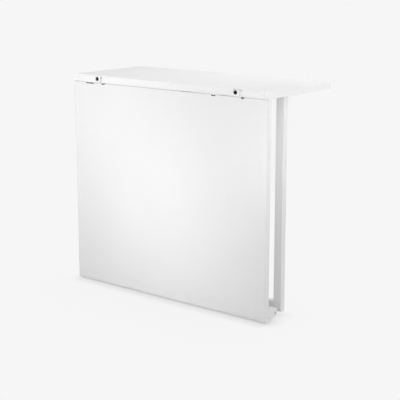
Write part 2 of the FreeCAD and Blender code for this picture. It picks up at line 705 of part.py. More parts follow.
def main():
    os.makedirs("parts", exist_ok=True)
    board, band, strips = shelf_parts()
    save("shelf_board", board)
    save("shelf_front_band", band)
    save("shelf_end_strips", strips)
    save("wall_rail", wall_rail())
    save("wall_foot_plate", foot_plate())
    save("wall_post", wall_post())
    save("post_plug", post_plug())
    save("top_plate", top_plate())
    save("foot_arm", foot_arm())
    upper_pin, lower_pin = gate_pins()
    save("gate_pin_upper", upper_pin)
    save("gate_pin_lower", lower_pin)
    save("thrust_washers", thrust_washers())
    save("frame_screws", frame_screws())
    for side, hx in (("left", -HINGE_AT), ("right", HINGE_AT)):
        save("hinge_body_" + side, hinge_body(hx))
        save("hinge_sleeve_" + side, hinge_sleeve(hx))
        save("hinge_pin_" + side, hinge_pin(hx))
        save("hinge_flap_" + side, hinge_flap(hx))
    save("hinge_screws_shelf", hinge_screws_shelf())
    save("hinge_screws_leaf", hinge_screws_leaf())
    leaf_board, leaf_bands = leaf_parts()
    save("leaf_board", leaf_board)
    save("leaf_side_bands", leaf_bands)
    save("leaf_lip", leaf_lip())
    save("lip_cap_left", lip_cap(-1))
    save("lip_cap_right", lip_cap(1))
    save("lip_cap_screws", lip_cap_screws())
    save("rest_block", rest_block())
    save("rest_block_screws", rest_screws())
    save("gate_outer_stile", outer_stile())
    save("gate_pivot_stile", pivot_stile())
    save("gate_rail", gate_rail())
    save("gate_stile_cap", stile_cap())
    upper, lower = gate_bushes()
    save("gate_bush_upper", upper)
    save("gate_bush_lower", lower)


main()
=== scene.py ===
"""Looks of a wall mounted drop leaf table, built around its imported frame."""

import math

import bpy
import numpy as np
from bpy.props import FloatProperty, FloatVectorProperty, PointerProperty
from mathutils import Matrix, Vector


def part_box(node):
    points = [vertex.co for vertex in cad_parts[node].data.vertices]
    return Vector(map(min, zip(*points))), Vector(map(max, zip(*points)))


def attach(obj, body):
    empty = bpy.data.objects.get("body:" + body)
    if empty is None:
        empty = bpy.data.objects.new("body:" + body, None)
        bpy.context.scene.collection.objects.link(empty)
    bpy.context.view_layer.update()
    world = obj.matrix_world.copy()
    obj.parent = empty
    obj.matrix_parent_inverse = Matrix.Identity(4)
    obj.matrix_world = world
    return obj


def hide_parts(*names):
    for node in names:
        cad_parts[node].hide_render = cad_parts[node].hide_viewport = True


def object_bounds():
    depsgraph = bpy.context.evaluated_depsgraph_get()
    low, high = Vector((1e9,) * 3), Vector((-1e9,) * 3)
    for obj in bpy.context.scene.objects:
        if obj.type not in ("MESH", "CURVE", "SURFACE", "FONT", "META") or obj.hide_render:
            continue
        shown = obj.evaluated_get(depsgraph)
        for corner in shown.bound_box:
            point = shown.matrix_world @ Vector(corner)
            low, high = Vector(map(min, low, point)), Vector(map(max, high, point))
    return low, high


bl_info = {
    "name": "Wall Mounted Drop Leaf Table",
    "version": (1, 0, 0),
    "blender": (4, 5, 0),
    "location": "3D View > Sidebar > Table",
    "description": "Finishes, screws, welds, mouldings and studio of a wall mounted drop leaf table",
    "category": "Object",
}

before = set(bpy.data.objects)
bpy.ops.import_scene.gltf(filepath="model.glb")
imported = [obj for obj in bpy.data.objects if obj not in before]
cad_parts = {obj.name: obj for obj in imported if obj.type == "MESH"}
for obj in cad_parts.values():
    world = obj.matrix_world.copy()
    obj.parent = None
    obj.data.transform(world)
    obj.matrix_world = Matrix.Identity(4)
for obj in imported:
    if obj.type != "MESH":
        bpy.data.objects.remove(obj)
CAD_LOW, CAD_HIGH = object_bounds()

MM = 0.001

# ---- sizes that the frame gives ----
_, SHELF_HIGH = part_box("shelf_board")
LEAF_LOW, LEAF_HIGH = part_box("leaf_board")
POST_LOW, POST_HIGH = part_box("wall_post")
RAIL_LOW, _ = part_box("wall_rail")
FOOT_LOW, FOOT_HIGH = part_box("wall_foot_plate")
PLATE_LOW, PLATE_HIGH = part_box("top_plate")
_, ARM_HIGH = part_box("foot_arm")
OUTER_LOW, OUTER_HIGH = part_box("gate_outer_stile")
INNER_LOW, INNER_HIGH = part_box("gate_pivot_stile")
GATE_LOW, GATE_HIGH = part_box("gate_rail")

# ---- screws: shank radius, head height and thread pitch ----
FRAME_SCREW = (1.98 * MM, 2.4 * MM, 1.8 * MM)
WOOD_SCREW = (1.58 * MM, 1.4 * MM, 1.4 * MM)
CAP_SCREW = (1.38 * MM, 1.5 * MM, 1.2 * MM)

# head of a screw: its top's radius as a share of the head's, and as shares of the head's height
# how far the top is crowned and how deep the rounded edge reaches
PAN_HEAD = (0.78, 0.14, 0.72)
FLAT_HEAD = (0.93, 0.03, 0.12)
# rings round its rounded edge
HEAD_RINGS = 6

# cross recess, as shares of the top's radius: half the width and half the length of a bar, and the
# run of its sloping wall; its depth, as a share of the head's height, and how much of it is lost
# towards the rim; and the grid lines that carry it
CROSS_WIDE, CROSS_LONG, CROSS_WALL = 0.15, 0.62, 0.02
CROSS_DEEP, CROSS_FADE = 0.62, 0.75
CROSS_LINES = (0.0, CROSS_WIDE, CROSS_WIDE + CROSS_WALL, 0.30, 0.46,
               CROSS_LONG, CROSS_LONG + CROSS_WALL, 0.84, 1.0)

# thread: rings to a turn, root as a share of the shank's radius, sharpness of the ridge, and
# length of the tip in shank radii
THREAD_RINGS, THREAD_ROOT, THREAD_SHARP, TIP_LONG = 6.0, 0.76, 2.4, 1.8

# turn from one screw's recess to the next one's, so that no two line up
GOLDEN_TURN = math.radians(137.5)

# ---- welds: leg of a bead and how far it bulges ----
WELD_LEG, WELD_BULGE = 3.0 * MM, 0.5 * MM
BUTT_LEG, BUTT_BULGE = 2.2 * MM, 0.7 * MM
INNER_LEG, INNER_BULGE = WELD_LEG / 2.0, WELD_BULGE / 2.0
MITRE_LEG, MITRE_BULGE = 0.9 * MM, 0.18 * MM
# how far a mitre's beads stay away from the tube's rounded edges
MITRE_IN = 2.2 * MM

# ripples of a bead: their length, their share of its width and of its height, and their bend
WELD_RIPPLE, RIPPLE_WIDE, RIPPLE_TALL, RIPPLE_BEND = 1.7 * MM, 0.03, 0.30, 0.35
# points across a bead and along its rounded end, and steps to a ripple
BEAD_ACROSS, BEAD_END, RIPPLE_STEPS = 9, 5, 6.0

# ---- collar of the dark hinge sleeves: its radii, and how far it is proud and sunk ----
COLLAR_IN, COLLAR_OUT, COLLAR_PROUD, COLLAR_SUNK = 4.05 * MM, 4.95 * MM, 0.24 * MM, 0.30 * MM
# points across it, and steps around it
COLLAR_ACROSS, COLLAR_AROUND = 9, 64

# ---- colours ----
WHITE_BOARD = (0.86, 0.86, 0.86)
WHITE_EDGE = (0.90, 0.90, 0.90)
WHITE_BAND = (0.89, 0.89, 0.89)
WHITE_COAT = (0.885, 0.885, 0.885)
WHITE_MOULDED = (0.86, 0.86, 0.86)
DARK_MOULDED = (0.012, 0.012, 0.012)
NYLON = (0.70, 0.69, 0.65)
# nearly black painted shade in the leaf's notches
NOTCH_SHADE = (0.03, 0.03, 0.03)
ZINC = (0.60, 0.605, 0.615)
# what the bluish patches leave of each part of zinc's colour
ZINC_BLUED = (0.93, 0.95, 0.98)

# ---- joints in the boards' surface, and painted shade in their gaps and notches ----
# hair lines: half the width, and what is left of the colour; a line is full up to one share of
# that half and gone at the other
GLUE_LINE = (0.20 * MM, 0.50)
# painted shade: a dark hair line just under the leaf's upper edge, standing in for the shadow in the
# gap under the shelf
SEAM_SHADE_LINE = (0.22 * MM, 0.22)
LINE_FULL, LINE_GONE = 0.6, 1.2
# painted shade in narrow gaps: how near the other face stands, and what is left of the colour
SEAM_SHADE_REACH, PAINTED_SEAM_SHADE = 3.0 * MM, 0.05
# nearly black painted shade in the leaf's notches: how far it reaches below them, its overlap on
# their walls, and a depth that is more than theirs
SHADE_BELOW_NOTCH, NOTCH_PAST, NOTCH_REACH = 0.8 * MM, 0.05 * MM, 4.0 * MM

# decimals of a metre to which points at one place agree, in a new mesh and in a CAD mesh
NEW_DIGITS, CAD_DIGITS = 8, 6
# edges that bend more than this stay sharp
SHARP_BEND = math.radians(40.0)
# sockets of a mix node for colours
MIX_FIRST, MIX_SECOND, MIX_RESULT = 6, 7, 2


# ------------------------------------------------------------------ surfaces

def sheet(x, y, z):
    """Points and triangles of a surface from three arrays of coordinates over a grid.

    Entry [i, j] of the arrays is the point at parameters i and j.  Each cell of the grid
    is split along one diagonal.
    """
    rows, cols = x.shape
    points = np.stack((x, y, z), axis=-1).reshape(-1, 3)
    at = np.arange(rows * cols).reshape(rows, cols)
    a, b, c, d = at[:-1, :-1], at[1:, :-1], at[1:, 1:], at[:-1, 1:]
    first = np.stack((a, b, c), axis=-1).reshape(-1, 3)
    second = np.stack((a, c, d), axis=-1).reshape(-1, 3)
    return points, np.concatenate((first, second))


def joined(sheets):
    """One surface from several, with equal points made one and faces without area left out."""
    starts = np.cumsum([0] + [len(p) for p, _ in sheets[:-1]])
    points = np.concatenate([p for p, _ in sheets])
    faces = np.concatenate([f + s for (_, f), s in zip(sheets, starts)])
    keys = np.round(points, NEW_DIGITS)
    _, first, where = np.unique(keys, axis=0, return_index=True, return_inverse=True)
    faces = where.reshape(-1)[faces]
    a, b, c = faces.T
    whole = (a != b) & (b != c) & (c != a)
    return points[first], faces[whole]


def placed(surface, turn, at):
    """A surface turned by a 3 by 3 matrix and moved: p becomes turn p + at."""
    points, faces = surface
    return points @ np.asarray(turn, float).T + np.asarray(at, float), faces


def turned(radius, height, steps):
    """Surface of revolution about Z.

    At angle t and step i along the outline the point is
    (radius[i] cos t, radius[i] sin t, height[i]).
    """
    t = np.linspace(0.0, 2.0 * math.pi, steps + 1)
    t[-1] = 0.0
    r, a = np.meshgrid(radius, t, indexing="ij")
    h = np.repeat(np.asarray(height, float)[:, None], steps + 1, axis=1)
    return sheet(r * np.cos(a), r * np.sin(a), h)


def toward(direction, spin=0.0):
    """Matrix that turns Z to a direction, after a turn about Z itself.

    Its columns are two directions square to the given one, turned by the spin, and the given
    one itself.
    """
    w = np.asarray(direction, float)
    u = np.cross((0.0, 1.0, 0.0) if abs(w[1]) < 0.5 else (0.0, 0.0, 1.0), w)
    v = np.cross(w, u)
    c, s = math.cos(spin), math.sin(spin)
    return np.stack((c * u + s * v, c * v - s * u, w), axis=1)


def points_of(mesh):
    """Points of a CAD mesh as rows of x, y, z, rounded so that those at one place are equal."""
    points = np.empty(3 * len(mesh.vertices), np.float32)
    mesh.vertices.foreach_get("co", points)
    return np.round(points.reshape(-1, 3), CAD_DIGITS)


def solids_of(name):
    """Lowest and highest corner of each separate solid of a CAD node.

    Points at one place are made one.  Each point then takes the least label among the faces
    that it is in, over and over until nothing changes, so points of one solid share a label.
    """
    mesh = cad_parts[name].data
    corners = np.empty(len(mesh.loops), np.int32)
    mesh.loops.foreach_get("vertex_index", corners)
    keys, where = np.unique(points_of(mesh), axis=0, return_inverse=True)
    faces = where.reshape(-1)[corners].reshape(-1, 3)
    label = np.arange(len(keys))
    settled = False
    while not settled:
        least = label[faces].min(axis=1)
        new = label.copy()
        for corner in faces.T:
            np.minimum.at(new, corner, least)
        settled = np.array_equal(new, label)
        label = new
    solids = [keys[label == one] for one in np.unique(label)]
    return [(points.min(axis=0), points.max(axis=0)) for points in solids]


def leaf_notches():
    """Middle and half width of each notch in the leaf's upper edge along X, and their depth.

    The corners of the leaf's front face that lie a little under its upper edge are the ends of
    the notches' floors, and two in a row belong to one notch.
    """
    points = points_of(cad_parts["leaf_board"].data)
    above = LEAF_HIGH.z - points[:, 2]
    front = points[:, 1] < LEAF_LOW.y + NOTCH_PAST
    floor = points[front & (above > NOTCH_PAST) & (above < NOTCH_REACH)]
    starts, ends = np.unique(floor[:, 0]).reshape(-1, 2).T
    return list(zip((starts + ends) / 2.0, (ends - starts) / 2.0)), LEAF_HIGH.z - floor[:, 2].min()


def add_piece(name, sheets, material, body, nodes=()):
    """Mesh object from surfaces, riding on a body of the frame and standing for its nodes."""
    points, faces = joined(sheets)
    mesh = bpy.data.meshes.new(name)
    mesh.vertices.add(len(points))
    mesh.vertices.foreach_set("co", points.astype(np.float32).ravel())
    mesh.loops.add(faces.size)
    mesh.loops.foreach_set("vertex_index", faces.astype(np.int32).ravel())
    mesh.polygons.add(len(faces))
    mesh.polygons.foreach_set("loop_start", np.arange(0, faces.size, 3, dtype=np.int32))
    mesh.update(calc_edges=True)
    mesh.validate()
    mesh.polygons.foreach_set("use_smooth", np.ones(len(mesh.polygons), bool))
    mesh.set_sharp_from_angle(angle=SHARP_BEND)
    piece = bpy.data.objects.new(name, mesh)
    bpy.context.scene.collection.objects.link(piece)
    mesh.materials.append(material)
    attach(piece, body)
    if nodes:
        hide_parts(*nodes)


# ------------------------------------------------------------------ screws, welds and collars

def screw(head_r, head_tall, shank_r, length, pitch, head):
    """Cross head screw along Z, with the top of its head at height 0 and its tip at the length.

    Top: a square grid u, v lies on a disc by x = u sqrt(1 - v v / 2), y = v sqrt(1 - u u / 2),
    so that its edge is a circle.  It is crowned by the square of the distance from the middle,
    and sunk inside two crossed bars, deeper towards the middle; grid lines lie on both sides
    of the bars' walls.
    Side: the points of the grid's border, taken once round, are carried down as rings.  Along
    the shank, at height h and angle t, the radius is the root plus the thread's depth times a
    ridge of h / pitch - t / 2 pi, and it runs out to a point over the tip.
    """
    top_share, crown_share, edge_share = head
    top_r, crown, edge_low = head_r * top_share, head_tall * crown_share, head_tall * edge_share
    half = np.array(CROSS_LINES)
    line = np.concatenate((-half[:0:-1], half))
    u, v = np.meshgrid(line, line, indexing="ij")
    x = u * np.sqrt(1.0 - v * v / 2.0)
    y = v * np.sqrt(1.0 - u * u / 2.0)
    away = np.hypot(x, y)

    def bar(across, along):
        wide = np.clip((CROSS_WIDE + CROSS_WALL - np.abs(across)) / CROSS_WALL, 0.0, 1.0)
        return wide * np.clip((CROSS_LONG + CROSS_WALL - np.abs(along)) / CROSS_WALL, 0.0, 1.0)

    sunk = np.maximum(bar(u, v), bar(v, u)) * (1.0 - CROSS_FADE * away) * CROSS_DEEP * head_tall
    z = crown * away ** 2 + sunk
    top = sheet((top_r * x).T, (top_r * y).T, z.T)

    last = len(line) - 1
    step = np.arange(last)
    rows = np.concatenate((step, np.full(last, last), last - step, np.zeros(last, int), (0,)))
    cols = np.concatenate((np.zeros(last, int), step, np.full(last, last), last - step, (0,)))
    across, up = x[rows, cols], y[rows, cols]
    angle = np.unwrap(np.arctan2(up, across))
    bend = np.linspace(0.0, math.pi / 2.0, HEAD_RINGS)
    radius = list(top_r + (head_r - top_r) * np.sin(bend)) + [head_r, shank_r]
    height = list(crown + (edge_low - crown) * (1.0 - np.cos(bend))) + [head_tall, head_tall]
    rings = np.repeat(np.asarray(radius)[:, None], len(angle), axis=1)
    drops = np.repeat(np.asarray(height)[:, None], len(angle), axis=1)

    count = int(math.ceil((length - head_tall) / pitch * THREAD_RINGS))
    h, t = np.meshgrid(np.linspace(head_tall, length, count + 1)[1:], angle, indexing="ij")
    turns = h / pitch - t / (2.0 * math.pi)
    ridge = np.clip(1.0 - THREAD_SHARP * np.abs(2.0 * (turns - np.floor(turns)) - 1.0), 0.0, 1.0)
    grown = np.clip((h - head_tall) / pitch, 0.0, 1.0)
    tip = np.clip((length - h) / (TIP_LONG * shank_r), 0.0, 1.0)
    shank = shank_r * (THREAD_ROOT + (1.0 - THREAD_ROOT) * ridge * grown) * tip
    rings = np.concatenate((rings, shank))
    drops = np.concatenate((drops, h))
    rings[:, -1] = rings[:, 0]
    side = sheet((rings * across).T, (rings * up).T, drops.T)
    return joined([top, side])


def screws_in(name, direction, size, head):
    """A cross head screw in the place of each solid of a node, all pointing one way.

    A direction along X is turned round where the solid lies on the other side.
    """
    shank_r, head_tall, pitch = size
    made = []
    for i, (low, high) in enumerate(solids_of(name)):
        way = np.asarray(direction, float)
        middle = (low + high) / 2.0
        if middle[0] * way[0] > 0.0:
            way = -way
        length = abs(float((high - low) @ way))
        head_r = float(np.sort(high - low)[:2].max()) / 2.0
        place = middle - way * length / 2.0
        body = screw(head_r, head_tall, shank_r, length, pitch, head)
        made.append(placed(body, toward(way, GOLDEN_TURN * (i + 1)), place))
    return made


def bead(start, end, first, second, leg, bulge, out=None):
    """Weld bead along the line from start to end, in the corner between two directions.

    With q from 0 to 1 across the bead, the section is
    leg (first cos^2(pi q / 2) + second sin^2(pi q / 2)) + bulge out sin(pi q), closed through
    the corner line.  Its size rises over one leg from nothing at each end as a quarter circle,
    and ripples in crescents along the way.
    """
    start, end, first, second = (np.asarray(p, float) for p in (start, end, first, second))
    out = (first + second) / math.sqrt(2.0) if out is None else np.asarray(out, float)
    length = float(np.linalg.norm(end - start))
    along = (end - start) / length
    if np.cross(along, second - first) @ out < 0.0:
        first, second = second, first
    q = np.linspace(0.0, 1.0, BEAD_ACROSS)
    s = np.linspace(0.0, length, int(length / WELD_RIPPLE * RIPPLE_STEPS) + 1)
    rise = leg * (1.0 - np.cos(np.linspace(0.0, math.pi / 2.0, BEAD_END)))
    s = np.unique(np.concatenate((s, rise)))
    s = np.unique(np.concatenate((s, length - s[s < leg])))
    edge = np.clip(np.minimum(s, length - s) / leg, 0.0, 1.0)
    size = np.sqrt(1.0 - (1.0 - edge) ** 2)[:, None]
    ripple = np.cos(2.0 * math.pi * (s[:, None] / WELD_RIPPLE + RIPPLE_BEND * np.sin(math.pi * q)))
    wide = size * leg * (1.0 + RIPPLE_WIDE * ripple)
    tall = size * bulge * (1.0 + RIPPLE_TALL * ripple) * np.sin(math.pi * q)
    spine = (start + np.outer(s, along))[:, None, :]
    cover = (spine + (wide * np.cos(math.pi * q / 2.0) ** 2)[:, :, None] * first
             + (wide * np.sin(math.pi * q / 2.0) ** 2)[:, :, None] * second
             + tall[:, :, None] * out)
    section = np.concatenate((cover, spine, cover[:, :1]), axis=1)
    return sheet(section[..., 0], section[..., 1], section[..., 2])


def collar(at, proud):
    """Collar of the dark sleeve round a hinge eye, turned about the eye's line.

    Its outline at angle b is half an ellipse, (middle + half cos b, proud sin b), closed by a
    base that is sunk into the sleeve.
    """
    bend = np.linspace(math.pi, 0.0, COLLAR_ACROSS)
    middle, half = (COLLAR_IN + COLLAR_OUT) / 2.0, (COLLAR_OUT - COLLAR_IN) / 2.0
    radius = [COLLAR_IN, *(middle + half * np.cos(bend)), COLLAR_OUT, COLLAR_IN]
    height = [-COLLAR_SUNK, *(proud * np.sin(bend)), -COLLAR_SUNK, -COLLAR_SUNK]
    return placed(turned(radius, height, COLLAR_AROUND), toward((0.0, -1.0, 0.0)), at)


# ------------------------------------------------------------------ finishes

def node(tree, kind, **values):
    """New shader node with some of its fields set."""
    made = tree.nodes.new(kind)
    for key, value in values.items():
        setattr(made, key, value)
    return made


def start_finish(name, colour, roughness):
    """Material with one Principled shader, and the coordinates of the piece."""
    made = bpy.data.materials.new(name)
    made.use_nodes = True
    tree = made.node_tree
    tree.nodes.clear()
    out = node(tree, "ShaderNodeOutputMaterial")
    shader = node(tree, "ShaderNodeBsdfPrincipled")
    tree.links.new(shader.outputs["BSDF"], out.inputs["Surface"])
    shader.inputs["Base Color"].default_value = (*colour, 1.0)
    shader.inputs["Roughness"].default_value = roughness
    place = node(tree, "ShaderNodeTexCoord")
    return made, tree, shader, place.outputs["Object"]


def put(tree, value, socket):
    """Links a socket to a socket, or sets it to a number or to a colour without its alpha."""
    if isinstance(value, bpy.types.NodeSocket):
        tree.links.new(value, socket)
    elif isinstance(value, tuple):
        socket.default_value = (*value, 1.0)
    else:
        socket.default_value = value


def noise(tree, place, scale, detail, rough=0.5):
    """Noise over the piece's own coordinates, about 1 / scale metres to a blob."""
    made = node(tree, "ShaderNodeTexNoise")
    made.inputs["Scale"].default_value = scale
    made.inputs["Detail"].default_value = detail
    made.inputs["Roughness"].default_value = rough
    tree.links.new(place, made.inputs["Vector"])
    return made.outputs["Fac"]


def spread(tree, value, low, high, start=0.3, end=0.7):
    """Value between start and end, which hold most of a noise, stretched to run from low to high."""
    made = node(tree, "ShaderNodeMapRange")
    made.inputs["From Min"].default_value = start
    made.inputs["From Max"].default_value = end
    made.inputs["To Min"].default_value = low
    made.inputs["To Max"].default_value = high
    tree.links.new(value, made.inputs["Value"])
    return made.outputs["Result"]


def blend(tree, share, first, second):
    """Colour between two, each a colour or a socket, by a share."""
    made = node(tree, "ShaderNodeMix", data_type="RGBA")
    tree.links.new(share, made.inputs["Factor"])
    put(tree, first, made.inputs[MIX_FIRST])
    put(tree, second, made.inputs[MIX_SECOND])
    return made.outputs[MIX_RESULT]


def times(colour, share):
    """Colour of which only a share is left."""
    return tuple(c * share for c in colour)


def raised(tree, shader, height, strength, distance):
    """Small relief on the surface from a height."""
    bump = node(tree, "ShaderNodeBump")
    bump.inputs["Strength"].default_value = strength
    bump.inputs["Distance"].default_value = distance
    tree.links.new(height, bump.inputs["Height"])
    tree.links.new(bump.outputs["Normal"], shader.inputs["Normal"])


def total(tree, first, second, share):
    """First value, a number or a socket, plus a share of the second."""
    made = node(tree, "ShaderNodeMath", operation="MULTIPLY_ADD")
    tree.links.new(second, made.inputs[0])
    made.inputs[1].default_value = share
    put(tree, first, made.inputs[2])
    return made.outputs[0]


def painted_crevice_shade(tree, colour):
    """Colour from a socket, darkened where other faces stand near.

    This is painted shade: in narrow gaps and corners little light comes in.
    """
    near = node(tree, "ShaderNodeAmbientOcclusion", samples=12)
    near.inputs["Distance"].default_value = SEAM_SHADE_REACH
    deep = spread(tree, near.outputs["AO"], low=1.0, high=0.0, start=0.15, end=0.85)
    made = node(tree, "ShaderNodeMix", data_type="RGBA", blend_type="MULTIPLY")
    tree.links.new(deep, made.inputs["Factor"])
    tree.links.new(colour, made.inputs[MIX_FIRST])
    put(tree, (PAINTED_SEAM_SHADE, PAINTED_SEAM_SHADE, PAINTED_SEAM_SHADE), made.inputs[MIX_SECOND])
    return made.outputs[MIX_RESULT]


def hair_line(tree, place, axis, at, half):
    """1 along a line where one coordinate is within half a width of a value.

    A line across X is on both sides of the middle.
    """
    parts = node(tree, "ShaderNodeSeparateXYZ")
    tree.links.new(place, parts.inputs[0])
    value = parts.outputs[axis]
    if axis == "X":
        size = node(tree, "ShaderNodeMath", operation="ABSOLUTE")
        tree.links.new(value, size.inputs[0])
        value = size.outputs[0]
    off = node(tree, "ShaderNodeMath", operation="SUBTRACT")
    tree.links.new(value, off.inputs[0])
    off.inputs[1].default_value = at
    away = node(tree, "ShaderNodeMath", operation="ABSOLUTE")
    tree.links.new(off.outputs[0], away.inputs[0])
    full, gone = LINE_FULL * half, LINE_GONE * half
    return spread(tree, away.outputs[0], low=1.0, high=0.0, start=full, end=gone)


def notch_shade_share(tree, place):
    """1 where painted shade darkens the leaf: in its notches and a little below them."""
    parts = node(tree, "ShaderNodeSeparateXYZ")
    tree.links.new(place, parts.inputs[0])

    def near(value, middle, reach):
        made = node(tree, "ShaderNodeMath", operation="COMPARE")
        made.inputs[1].default_value = middle
        made.inputs[2].default_value = reach + NOTCH_PAST
        tree.links.new(value, made.inputs[0])
        return made.outputs[0]

    notches, depth = leaf_notches()
    along = None
    for middle, half in notches:
        here = near(parts.outputs["X"], middle, half)
        along = here if along is None else total(tree, along, here, share=1.0)
    share = node(tree, "ShaderNodeMath", operation="MULTIPLY")
    tree.links.new(along, share.inputs[0])
    tree.links.new(near(parts.outputs["Z"], LEAF_HIGH.z, depth + SHADE_BELOW_NOTCH), share.inputs[1])
    return share.outputs[0]


def foil_finish(name, colour, lines=(), seam_shade=False, notch_shade=False):
    """White foil on board: fine pearl relief, faint clouding, and hair lines: dark ones at its
    joints, and on the leaf one of painted shade under its upper edge.

    A line is an axis, its place, half its width and what it leaves of the colour.  A board may
    also get painted shade inside its narrow gaps, and nearly black painted shade in its notches
    and just under them.
    """
    made, tree, shader, place = start_finish(name, colour, roughness=0.58)
    shader.inputs["Specular IOR Level"].default_value = 0.18
    clouds = spread(tree, noise(tree, place, scale=9.0, detail=4.0, rough=0.6), low=0.0, high=1.0)
    tint = blend(tree, clouds, times(colour, share=0.985), colour)
    for axis, at, half, share in lines:
        tint = blend(tree, hair_line(tree, place, axis, at, half), tint, times(colour, share))
    # painted shade in the notches and just under them
    if notch_shade:
        tint = blend(tree, notch_shade_share(tree, place), tint, NOTCH_SHADE)
    # painted shade inside narrow gaps and corners
    if seam_shade:
        tint = painted_crevice_shade(tree, tint)
    tree.links.new(tint, shader.inputs["Base Color"])
    worn = noise(tree, place, scale=45.0, detail=5.0, rough=0.7)
    tree.links.new(spread(tree, worn, low=0.52, high=0.64), shader.inputs["Roughness"])
    pearl = noise(tree, place, scale=620.0, detail=2.0, rough=0.55)
    fine = noise(tree, place, scale=2600.0, detail=1.0)
    raised(tree, shader, total(tree, pearl, fine, share=0.35), strength=0.10, distance=0.10 * MM)
    return made


def coat_finish(name, colour):
    """Powder coat on steel: rounded orange peel of about a millimetre, satin."""
    made, tree, shader, place = start_finish(name, colour, roughness=0.40)
    clouds = spread(tree, noise(tree, place, scale=14.0, detail=4.0, rough=0.6), low=0.0, high=1.0)
    tree.links.new(blend(tree, clouds, times(colour, share=0.975), colour), shader.inputs["Base Color"])
    satin = noise(tree, place, scale=60.0, detail=4.0, rough=0.6)
    tree.links.new(spread(tree, satin, low=0.35, high=0.47), shader.inputs["Roughness"])
    peel = noise(tree, place, scale=900.0, detail=1.5)
    waves = noise(tree, place, scale=240.0, detail=2.0)
    raised(tree, shader, total(tree, peel, waves, share=0.6), strength=0.22, distance=0.12 * MM)
    return made


def moulded_finish(name, colour, roughness=0.30):
    """Moulded plastic: smooth, with faint flow clouding and a fine spark texture."""
    made, tree, shader, place = start_finish(name, colour, roughness)
    flow = noise(tree, place, scale=70.0, detail=2.0)
    clouds = spread(tree, flow, low=0.0, high=1.0, start=0.2, end=0.8)
    tree.links.new(blend(tree, clouds, times(colour, share=0.985), colour), shader.inputs["Base Color"])
    gloss = spread(tree, flow, low=roughness - 0.04, high=roughness + 0.06)
    tree.links.new(gloss, shader.inputs["Roughness"])
    spark = noise(tree, place, scale=3200.0, detail=1.0)
    raised(tree, shader, spark, strength=0.10, distance=0.05 * MM)
    return made


def zinc_finish(name, colour):
    """Zinc plated steel: a fine grain, and a patchy bluish passivation."""
    made, tree, shader, place = start_finish(name, colour, roughness=0.3)
    shader.inputs["Metallic"].default_value = 1.0
    patches = noise(tree, place, scale=180.0, detail=5.0, rough=0.65)
    grain = noise(tree, place, scale=4200.0, detail=2.0, rough=0.7)
    blue = tuple(c * share for c, share in zip(colour, ZINC_BLUED))
    tint = blend(tree, spread(tree, patches, low=0.0, high=1.0), blue, colour)
    tree.links.new(tint, shader.inputs["Base Color"])
    uneven = total(tree, patches, grain, share=0.6)
    gloss = spread(tree, uneven, low=0.22, high=0.46, start=0.4, end=1.1)
    tree.links.new(gloss, shader.inputs["Roughness"])
    raised(tree, shader, grain, strength=0.15, distance=0.03 * MM)
    return made


def nylon_finish(name, colour):
    """Natural nylon: slightly cloudy and waxy."""
    made, tree, shader, place = start_finish(name, colour, roughness=0.45)
    shader.inputs["Subsurface Weight"].default_value = 0.15
    shader.inputs["Subsurface Radius"].default_value = (1.2 * MM, 1.0 * MM, 0.8 * MM)
    clouds = spread(tree, noise(tree, place, scale=120.0, detail=4.0, rough=0.6), low=0.0, high=1.0)
    tree.links.new(blend(tree, clouds, times(colour, share=0.93), colour), shader.inputs["Base Color"])
    grain = noise(tree, place, scale=2400.0, detail=1.0)
    raised(tree, shader, grain, strength=0.12, distance=0.05 * MM)
    return made


def give(names, material):
    """Puts one material on CAD nodes of the frame."""
    for name in names:
        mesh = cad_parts[name].data
        mesh.materials.clear()
        mesh.materials.append(material)


# ------------------------------------------------------------------ properties

class TableLooks(bpy.types.PropertyGroup):
    """Colours of the table's materials, and sizes of its small trim."""

    board: FloatVectorProperty(
        name="Boards", description="Colour of the foil on the shelf and the leaf",
        default=WHITE_BOARD, size=3, min=0.0, max=1.0, subtype="COLOR")
    edge: FloatVectorProperty(
        name="Shelf edging", description="Colour of the plastic edging on the shelf",
        default=WHITE_EDGE, size=3, min=0.0, max=1.0, subtype="COLOR")
    band: FloatVectorProperty(
        name="Leaf bands", description="Colour of the banding on the leaf's side edges",
        default=WHITE_BAND, size=3, min=0.0, max=1.0, subtype="COLOR")
    coat: FloatVectorProperty(
        name="Powder coat", description="Colour of the steel frame and gate",
        default=WHITE_COAT, size=3, min=0.0, max=1.0, subtype="COLOR")
    moulded: FloatVectorProperty(
        name="Mouldings", description="Colour of caps, plugs and hinges",
        default=WHITE_MOULDED, size=3, min=0.0, max=1.0, subtype="COLOR")
    dark: FloatVectorProperty(
        name="Hinge sleeves", description="Colour of the dark sleeves in the hinges",
        default=DARK_MOULDED, size=3, min=0.0, max=1.0, subtype="COLOR")
    zinc: FloatVectorProperty(
        name="Zinc", description="Colour of pins and screws",
        default=ZINC, size=3, min=0.0, max=1.0, subtype="COLOR")
    nylon: FloatVectorProperty(
        name="Nylon", description="Colour of bushes and washers",
        default=NYLON, size=3, min=0.0, max=1.0, subtype="COLOR")
    weld: FloatProperty(
        name="Weld leg", description="Leg of the wall frame's weld beads",
        default=WELD_LEG, min=1.0 * MM, max=6.0 * MM, subtype="DISTANCE", unit="LENGTH")
    mitre: FloatProperty(
        name="Mitre bead", description="Leg of the dressed beads on the gate's mitres",
        default=MITRE_LEG, min=0.4 * MM, max=2.0 * MM, subtype="DISTANCE", unit="LENGTH")
    collar: FloatProperty(
        name="Sleeve collar", description="How far the collar of the dark sleeves stands out",
        default=COLLAR_PROUD, min=0.1 * MM, max=1.0 * MM, subtype="DISTANCE", unit="LENGTH")


